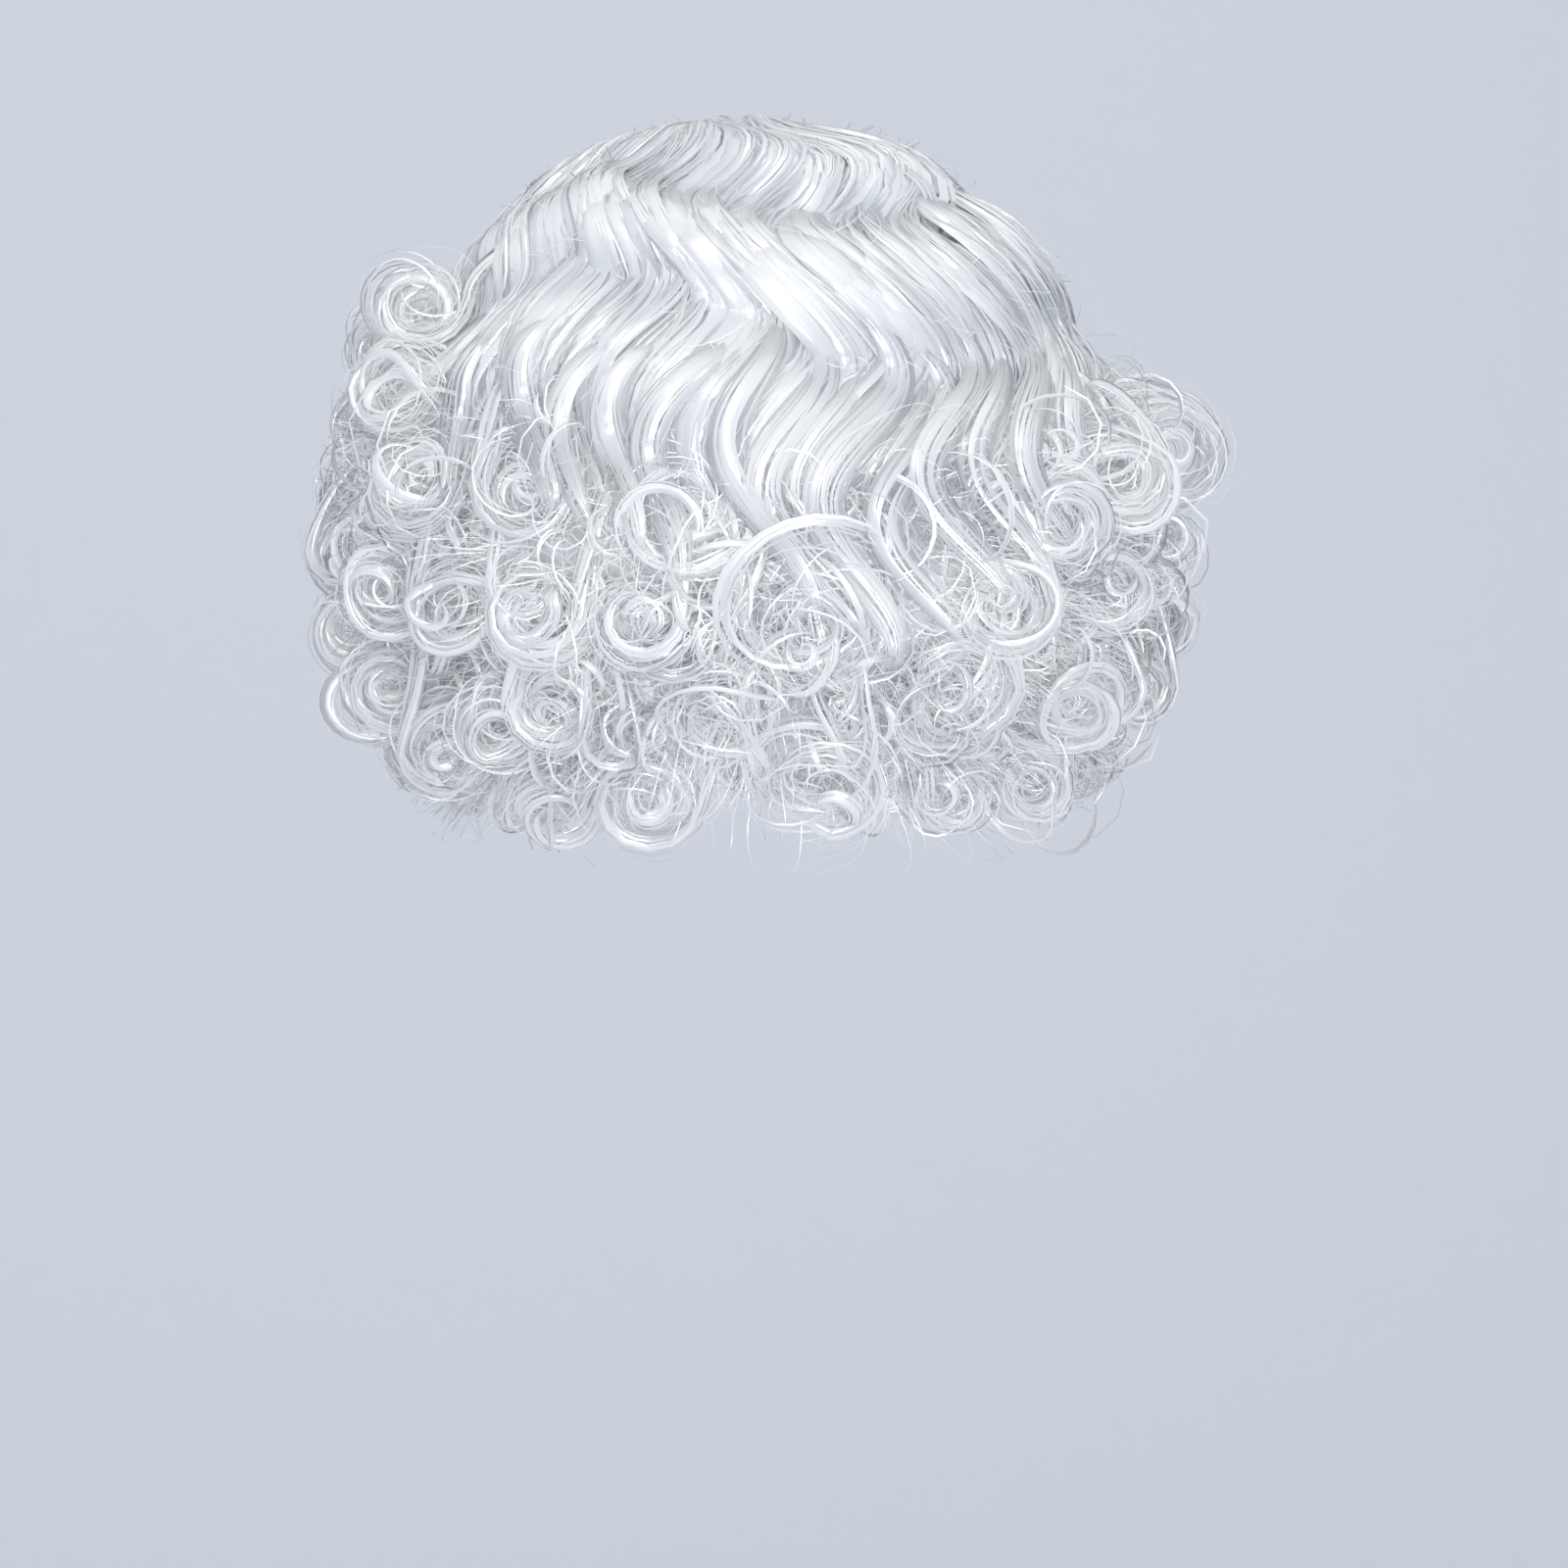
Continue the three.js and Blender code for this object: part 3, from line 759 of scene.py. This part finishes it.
def feeding_locks(rng, curl, kind, turns, width):
    """Locks that run down to a curl from the hair above it, and wind on into it."""
    number = kind["feeding"]
    steps = kind["steps"] + FEEDING_STEPS
    rise = kind["rise"]
    upright = np.array([0, 0, 1]) - curl.axis * curl.axis[2]
    upright = unit(upright) if np.linalg.norm(upright) > 0.2 else curl.start
    sideways = np.cross(curl.axis, upright) * curl.hand
    size = rng.uniform(*FEEDING_SIZES, (number, 1))
    axial = (rng.uniform(-0.4, 0.4, (number, 1)) * width)[..., None]
    fall = steps // 2
    share = np.linspace(0, 1, steps - fall)[None]
    angle = (2 * np.pi * turns * rng.uniform(*FEEDING_TURNS, (number, 1)) * share)[..., None]
    out = np.cos(angle) * sideways - np.sin(angle) * upright
    radius = curl.radius * size * (1 - COIL_TIGHTEN * rng.uniform(0.4, 1, (number, 1)) * share)
    ring = curl.centre + out * radius[..., None] + curl.axis * axial
    first = ring[:, 0]
    above = first + upright * rise * rng.uniform(0.8, 1.2, (number, 1))
    above = above + sideways * rng.normal(0.1, 0.35, (number, 1)) * rise
    heading = unit(above - HEAD_CENTRE)
    distance = np.maximum(reach(heading, CROWN_HALF), reach(heading, PAD_HALF)) - 2 * MM
    base = HEAD_CENTRE + heading * distance[:, None]
    gap = np.linalg.norm(first - base, axis=1)[:, None]
    downward = unit(np.cross(unit(np.cross([0, 0, 1], heading)), heading)) * -1
    leaving = base + downward * gap * 0.35 + heading * 3 * MM
    arriving = first + upright * gap * 0.4
    time = np.linspace(0, 1, fall, endpoint=False)[None, :, None]
    curve = (1 - time) ** 3 * base[:, None] + 3 * (1 - time) ** 2 * time * leaving[:, None]
    curve = curve + 3 * (1 - time) * time**2 * arriving[:, None] + time**3 * first[:, None]
    pace = rng.uniform(4, 7, (number, 1, 1))
    height = rng.uniform(2, 5, (number, 1, 1)) * MM
    curve = curve + np.sin(time * pace) * (1 - time) * height * sideways
    path = np.concatenate([curve, ring], axis=1)
    flat_across, _ = frames(path, unit(path - HEAD_CENTRE))
    same = np.where(flat_across[:, fall] @ curl.axis < 0, -1, 1)[:, None, None]
    turned = smoothstep(np.linspace(0, 1, steps), 0.3, 0.6)[None, :, None]
    across = unit(flat_across * (1 - turned) + curl.axis * same * turned * 1.01)
    travel = unit(np.gradient(path, axis=1))
    return path, across, unit(np.cross(across, travel))


def dress_curl(hair, rng, curl, width, thickness, turns, kind):
    """A curl of several locks that wind side by side and one inside another, with loose strands."""
    locks = kind["locks"]
    steps = kind["steps"]
    place = np.linspace(-0.5, 0.5, locks) + rng.normal(0, 0.1, locks)
    size = rng.uniform(*LOCK_SIZES, locks)
    size[1::3] = rng.uniform(*INNER_SIZES, len(size[1::3]))
    own_turns = turns * rng.uniform(*LOCK_TURNS, locks)
    begin = rng.normal(0, 0.16, locks)
    path, across, out = curl.wind(rng, steps, size, own_turns, begin, place * width * 0.8)
    share = np.linspace(0, 1, steps)[None]
    fullness = (1 - TIP_THINNING * share**2) * np.clip((1.03 - share) / 0.2, 0.1, 1) ** 0.7
    half_width = fullness * width * rng.uniform(0.14, 0.24, (locks, 1))
    half_depth = fullness * thickness * rng.uniform(0.2, 0.42, (locks, 1))
    strands = kind["strands"]
    fill_locks(hair, rng, path, across, out, half_width, half_depth, strands, math.pi, 0.35)
    feeding = kind["feeding"]
    path, across, up = feeding_locks(rng, curl, kind, turns, width)
    share = np.linspace(0, 1, path.shape[1])[None]
    fullness = np.clip(share / 0.15, 0.3, 1) * np.clip((1.03 - share) / 0.3, 0.1, 1) ** 0.7
    half_width = fullness * width * rng.uniform(0.14, 0.22, (feeding, 1))
    half_depth = fullness * thickness * rng.uniform(0.2, 0.32, (feeding, 1))
    fill_locks(hair, rng, path, across, up, half_width, half_depth, strands, math.pi, 0.3)
    loose = kind["loose"]
    size = rng.uniform(*LOOSE_SIZES, loose)
    place = rng.uniform(-0.5, 0.5, loose) * width
    own_turns = rng.uniform(*LOOSE_TURNS, loose)
    begin = rng.uniform(0, 1, loose)
    path, across, out = curl.wind(rng, steps - 4, size, own_turns, begin, place, rooted=0)
    thin = np.full((loose, steps - 4), THREAD_RADIUS)
    fill_locks(hair, rng, path, across, out, thin, thin, 1, math.pi, 0.5, STRAND_WIDTH * 0.7)


def short_curl(hair, rng, kind, low_bearing, high_bearing, low_drop, high_drop, middle):
    """A short loose curl in a random place on the pads between the full ones."""
    bearing = rng.uniform(low_bearing, high_bearing)
    drop = rng.uniform(low_drop, high_drop)
    width = rng.uniform(*kind["widths"])
    thickness = rng.uniform(*kind["depths"])
    radius = rng.uniform(*kind["radii"])
    lean = rng.uniform(-0.6, 1.3)
    tilt = rng.normal(0, 0.35)
    hand = rng.choice([-1, 1])
    curl = Curl(bearing, drop, radius, lean, tilt, hand, middle, width, thickness, 3 * MM)
    dress_curl(hair, rng, curl, width, thickness, rng.uniform(*kind["turns"]), kind)


def frizz(hair, rng, kind, low_bearing, high_bearing, low_drop, high_drop, half):
    """Fine stray hairs that arch out of the surface and turn away from straight down."""
    number = kind["number"]
    bearing = rng.uniform(low_bearing, high_bearing, number)
    drop = rng.uniform(low_drop, high_drop, number)
    polar = polar_of(bearing, drop, half)
    base = hair_flow(bearing, polar, half, np.zeros(number))
    outward = unit(base - HEAD_CENTRE)
    turn = rng.normal(0, kind["scatter"], number)[:, None]
    level = unit(np.cross(outward, [0, 0, 1]))
    downward = np.cross(outward, level)
    heading = np.cos(turn) * downward + np.sin(turn) * level
    length = rng.uniform(*FRIZZ_LENGTHS, number)[:, None, None]
    height = rng.uniform(0.25, 1, number)[:, None, None] * kind["stray"]
    bend = rng.normal(0, FRIZZ_BEND, number)[:, None, None]
    share = np.linspace(0, 1, FRIZZ_STEPS)[None, :, None]
    sideways = np.cross(outward, heading)[:, None]
    path = base[:, None] + heading[:, None] * length * np.sin(share * 2.2) / 2.2
    path = path + sideways * bend * length * share**2 * 0.5
    path = path + outward[:, None] * height * np.sin(np.pi * np.minimum(share * 0.9, 1))
    across, up = frames(path, np.broadcast_to(outward[:, None], path.shape))
    width = (1 - 0.8 * share[..., 0]) * FRIZZ_WIDTH * np.ones((number, 1))
    hair.strands(path, across, up, width, rng.uniform(0.85, 1, number))


# Materials


def math_node(nodes, operation):
    node = nodes.new("ShaderNodeMath")
    node.operation = operation
    return node


def new_material(name, colour):
    material = bpy.data.materials.new(name)
    material.use_nodes = True
    material.diffuse_color = (*colour, 1)
    nodes = material.node_tree.nodes
    return material, nodes, material.node_tree.links, nodes["Principled BSDF"]


def set_input(shader, name, value):
    shader.inputs[name].default_value = value


def hair_material():
    """White synthetic hair: fine stripes along each lock, soft patches, and each strand's own tint,
    which also carries painted highlight and painted shade along the waves and painted shade in the
    grooves of the combed surface.
    """
    material, nodes, links, shader = new_material("white_hair", (0.93, 0.94, 0.95))
    set_input(shader, "Roughness", 0.28)
    set_input(shader, "Metallic", 0.22)
    set_input(shader, "Specular IOR Level", 0.8)
    uv = nodes.new("ShaderNodeUVMap")
    uv.uv_map = "along_the_hair"
    stretch = nodes.new("ShaderNodeMapping")
    stretch.inputs["Scale"].default_value = (16, 14, 1)
    links.new(uv.outputs["UV"], stretch.inputs["Vector"])
    stripes = nodes.new("ShaderNodeTexNoise")
    stripes.inputs["Scale"].default_value = 1
    stripes.inputs["Detail"].default_value = 1
    links.new(stretch.outputs["Vector"], stripes.inputs["Vector"])
    tint = nodes.new("ShaderNodeAttribute")
    tint.attribute_name = "tint"
    blend = math_node(nodes, "MULTIPLY_ADD")
    blend.inputs[1].default_value = 0.35
    links.new(stripes.outputs["Fac"], blend.inputs[0])
    links.new(tint.outputs["Fac"], blend.inputs[2])
    place = nodes.new("ShaderNodeTexCoord")
    patches = nodes.new("ShaderNodeTexNoise")
    patches.inputs["Scale"].default_value = 34
    patches.inputs["Detail"].default_value = 1
    links.new(place.outputs["Object"], patches.inputs["Vector"])
    uneven = nodes.new("ShaderNodeMapRange")
    uneven.inputs["From Min"].default_value = 0.35
    uneven.inputs["From Max"].default_value = 0.6
    uneven.inputs["To Min"].default_value = 0.74
    uneven.inputs["To Max"].default_value = 1.06
    links.new(patches.outputs["Fac"], uneven.inputs["Value"])
    patched = math_node(nodes, "MULTIPLY")
    links.new(blend.outputs["Value"], patched.inputs[0])
    links.new(uneven.outputs["Result"], patched.inputs[1])
    ramp = nodes.new("ShaderNodeValToRGB")
    ramp.color_ramp.elements[0].position = 0.3
    ramp.color_ramp.elements[0].color = (0.66, 0.69, 0.73, 1)
    ramp.color_ramp.elements[1].position = 1.0
    ramp.color_ramp.elements[1].color = (0.975, 0.98, 0.98, 1)
    links.new(patched.outputs["Value"], ramp.inputs["Fac"])
    links.new(ramp.outputs["Color"], shader.inputs["Base Color"])
    let_light_through(nodes, links, shader)
    return material


def let_light_through(nodes, links, shader):
    """Lets part of the light past each strand, because one strand here stands for many fine hairs."""
    path = nodes.new("ShaderNodeLightPath")
    passing = math_node(nodes, "ADD")
    links.new(path.outputs["Is Shadow Ray"], passing.inputs[0])
    links.new(path.outputs["Is Diffuse Ray"], passing.inputs[1])
    share = math_node(nodes, "MULTIPLY")
    share.inputs[1].default_value = LIGHT_PASSED
    links.new(passing.outputs["Value"], share.inputs[0])
    clear = nodes.new("ShaderNodeBsdfTransparent")
    mix = nodes.new("ShaderNodeMixShader")
    links.new(share.outputs["Value"], mix.inputs["Fac"])
    links.new(shader.outputs["BSDF"], mix.inputs[1])
    links.new(clear.outputs["BSDF"], mix.inputs[2])
    links.new(mix.outputs["Shader"], nodes["Material Output"].inputs["Surface"])


def net_material():
    """Pale net: fine crossed threads over a matt cloth."""
    material, nodes, links, shader = new_material("cap_net", (0.85, 0.84, 0.81))
    set_input(shader, "Roughness", 0.85)
    set_input(shader, "Sheen Weight", 0.2)
    place = nodes.new("ShaderNodeTexCoord")
    heights = []
    for direction in ("X", "Z"):
        wave = nodes.new("ShaderNodeTexWave")
        wave.bands_direction = direction
        wave.inputs["Scale"].default_value = 160
        wave.inputs["Distortion"].default_value = 0.6
        links.new(place.outputs["Object"], wave.inputs["Vector"])
        heights.append(wave.outputs["Fac"])
    larger = math_node(nodes, "MAXIMUM")
    links.new(heights[0], larger.inputs[0])
    links.new(heights[1], larger.inputs[1])
    ramp = nodes.new("ShaderNodeValToRGB")
    ramp.color_ramp.elements[0].color = (0.6, 0.59, 0.56, 1)
    ramp.color_ramp.elements[1].color = (0.87, 0.86, 0.83, 1)
    links.new(larger.outputs["Value"], ramp.inputs["Fac"])
    links.new(ramp.outputs["Color"], shader.inputs["Base Color"])
    bump = nodes.new("ShaderNodeBump")
    bump.inputs["Strength"].default_value = 0.6
    bump.inputs["Distance"].default_value = 0.3 * MM
    links.new(larger.outputs["Value"], bump.inputs["Height"])
    links.new(bump.outputs["Normal"], shader.inputs["Normal"])
    return material


# The pieces


def crown_piece(material):
    """The combed crown: its ridged surface, waved locks of strands, loose strands and stray hairs."""
    rng = np.random.default_rng(CROWN_SEED)
    hair = Hair()
    turn = math.pi
    skin(hair, rng, CROWN_HALF, -turn, turn, None, hem_drop, CROWN_ROWS)
    lining(hair, -turn, turn, even_edge(LINING_TOP), hem_drop, CROWN_HALF)
    number = CROWN_LOCKS["number"]
    bearings = rng.uniform(-turn, turn, number)
    hem = polar_of(bearings, hem_drop(bearings), CROWN_HALF)
    begins = hem * rng.uniform(0.1, 0.5, number)
    overhang = np.clip(np.cos(bearings), LEAST_OVERHANG, 1) * rng.uniform(0, 0.15, number)
    ends = hem * (rng.uniform(0.85, 1, number) + overhang)
    section = random_section(rng, number, CROWN_RANGES)
    flow_locks(hair, rng, bearings, begins, ends, section, CROWN_LOCKS)
    degrees, first, last, width, flick = np.array(FALLING_LOCKS, dtype=float).T
    bearings = np.radians(degrees)
    begins = polar_of(bearings, first * MM, CROWN_HALF)
    ends = polar_of(bearings, last * MM, PAD_HALF)
    ones = np.ones(len(bearings))
    section = (width * MM, FALLING_DEPTH * ones, FALLING_LIFT * ones, flick * MM)
    flow_locks(hair, rng, bearings, begins, ends, section, FALLING_FILL, FALLING_FLICK)
    piece = hair.piece("crown_hair", material)
    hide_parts("crown_waves")
    loose = Hair()
    number = LOOSE_LOCKS["number"]
    bearings = rng.uniform(-turn, turn, number)
    hem = polar_of(bearings, hem_drop(bearings), CROWN_HALF)
    begins = hem * rng.uniform(0.02, 0.7, number)
    overhang = np.clip(np.cos(bearings), LEAST_OVERHANG, 1) * rng.uniform(0, 0.2, number)
    ends = np.minimum(begins + hem * rng.uniform(0.35, 0.8, number), hem * (1 + overhang))
    section = random_section(rng, number, LOOSE_RANGES)
    flow_locks(loose, rng, bearings, begins, ends, section, LOOSE_LOCKS)
    frizz(loose, rng, CROWN_FRIZZ, -turn, turn, FRIZZ_TOP, FRIZZ_BOTTOM, CROWN_HALF)
    loose.piece("crown_strands", material)


def bank_piece(seed, name, low, high, rows, upper_drop, lower_drop, material):
    """A bank of curls: its pad, its full curls, and small curls and stray hairs between them."""
    rng = np.random.default_rng(seed)
    hair = Hair()
    low = math.radians(low)
    high = math.radians(high)
    upper = upper_drop == 0
    tops = under_hem if upper else even_edge(upper_drop - TIER_OVERLAP)
    bottoms = even_edge(lower_drop)
    skin(hair, rng, PAD_HALF, low, high, tops, bottoms, PAD_ROWS)
    lining(hair, low, high, tops, bottoms, PAD_HALF)
    foremost = max(low, high, key=abs)
    if abs(foremost) in (math.radians(TEMPLE_FRONT), math.radians(JAW_FRONT)):
        front_end(hair, rng, foremost, float(tops(np.array([foremost]))[0]), lower_drop)
    first_drop = max(upper_drop, HEM_BACK)
    middle, _ = pad_seat((low + high) / 2, (first_drop + lower_drop) / 2)
    for index, (bearing, drop, size, lean) in enumerate(rows):
        tilt = math.radians(COIL_TILT) * math.sin(2 * index)
        hand = 1 if index % 2 else -1
        curl = Curl(math.radians(bearing), drop * PAD_DROP, CURL_RADIUS * size, math.radians(lean),
                    tilt, hand, middle, LOCK_WIDTH, LOCK_THICKNESS, COIL_SINK)
        dress_curl(hair, rng, curl, LOCK_WIDTH, LOCK_THICKNESS, COIL_TURNS, FULL_CURL)
    top_drop = float(hem_drop(np.array([(low + high) / 2]))[0]) if upper else upper_drop
    for kind in (SMALL_CURL, WISP):
        for _ in range(kind["counts"][0 if upper else 1]):
            short_curl(hair, rng, kind, low, high, top_drop, lower_drop, middle)
    frizz(hair, rng, BANK_FRIZZ, low, high, top_drop, lower_drop, PAD_HALF)
    piece = hair.piece(name.replace("curls", "hair"), material)
    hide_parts(name)


# Stage


def plain_material(name, colour, roughness):
    material, nodes, links, shader = new_material(name, colour)
    set_input(shader, "Base Color", (*colour, 1))
    set_input(shader, "Roughness", roughness)
    return material


def stage_cove(name, material):
    """A round floor that curves up into a low wall, as one smooth sheet about the wig."""
    wall = 2.6
    wall_top = 0.75
    floor_level = -1
    bend = 1.2
    bend_steps = 16
    sides = 96
    profile = [(0.02, floor_level), (0.6, floor_level)]
    for step in range(bend_steps + 1):
        angle = math.pi / 2 * step / bend_steps
        radius = wall - bend + bend * math.sin(angle)
        profile.append((radius, floor_level + bend - bend * math.cos(angle)))
    profile.append((wall, wall_top))
    points = []
    for radius, height in profile:
        for side in range(sides):
            angle = 2 * math.pi * side / sides
            points.append((radius * math.cos(angle), radius * math.sin(angle), height))
    faces = [tuple(range(sides))]
    for ring in range(len(profile) - 1):
        for side in range(sides):
            after = (side + 1) % sides
            low = ring * sides
            faces.append((low + side, low + after, low + sides + after, low + sides + side))
    mesh = bpy.data.meshes.new(name)
    mesh.from_pydata(points, [], faces)
    mesh.shade_smooth()
    mesh.materials.append(material)
    cove = bpy.data.objects.new(name, mesh)
    bpy.context.scene.collection.objects.link(cove)


def add_light(name, place, target, size, power, colour, spread):
    light = bpy.data.lights.new(name, "AREA")
    light.shape = "DISK"
    light.spread = math.radians(spread)
    light.size = size
    light.energy = power
    light.color = colour
    lamp = bpy.data.objects.new(name, light)
    lamp.location = place
    lamp.rotation_euler = (Vector(target) - Vector(place)).to_track_quat("-Z", "Y").to_euler()
    bpy.context.scene.collection.objects.link(lamp)


def add_camera():
    """The photograph's view: from behind, level with the nape, 85 mm lens."""
    distance = 1.209
    elevation = math.radians(2)
    aim = Vector((-0.0096, 0, -0.192))
    camera = bpy.data.cameras.new("camera")
    camera.lens = 85
    camera.sensor_width = 36
    holder = bpy.data.objects.new("camera", camera)
    holder.location = aim + Vector((0, math.cos(elevation), math.sin(elevation))) * distance
    holder.rotation_euler = (aim - holder.location).to_track_quat("-Z", "Y").to_euler()
    bpy.context.scene.collection.objects.link(holder)
    bpy.context.scene.camera = holder


def build_stage():
    stage_cove("floor_and_wall", plain_material("pale_wall", (0.9, 0.92, 0.96), 0.9))
    add_light("key", (0.1, 0.95, 0.95), (0, 0, -0.08), 0.75, 4, (1, 0.99, 0.97), 180)
    add_light("fill", (-0.36, 2.2, -0.45), (0, 0, -0.16), 1.6, 4.9, (0.98, 0.985, 1), 60)
    world = bpy.data.worlds.new("world")
    world.use_nodes = True
    world.node_tree.nodes["Background"].inputs["Color"].default_value = (0.92, 0.95, 1, 1)
    world.node_tree.nodes["Background"].inputs["Strength"].default_value = 0.66
    bpy.context.scene.world = world
    bpy.context.scene.view_settings.view_transform = "Standard"
    bpy.context.scene.cycles.diffuse_bounces = 3
    bpy.context.scene.cycles.glossy_bounces = 2


add_camera()
hair_look = hair_material()
net_look = net_material()
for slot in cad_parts["cap"].material_slots:
    slot.material = net_look
crown_piece(hair_look)
seed = BANK_SEED
for banks, upper_drop, lower_drop in ((UPPER_BANKS, 0, TIER_DROP), (LOWER_BANKS, TIER_DROP, PAD_DROP)):
    for name, low, high, rows in banks:
        bank_piece(seed, name, low, high, rows, upper_drop, lower_drop, hair_look)
        seed += 1
build_stage()
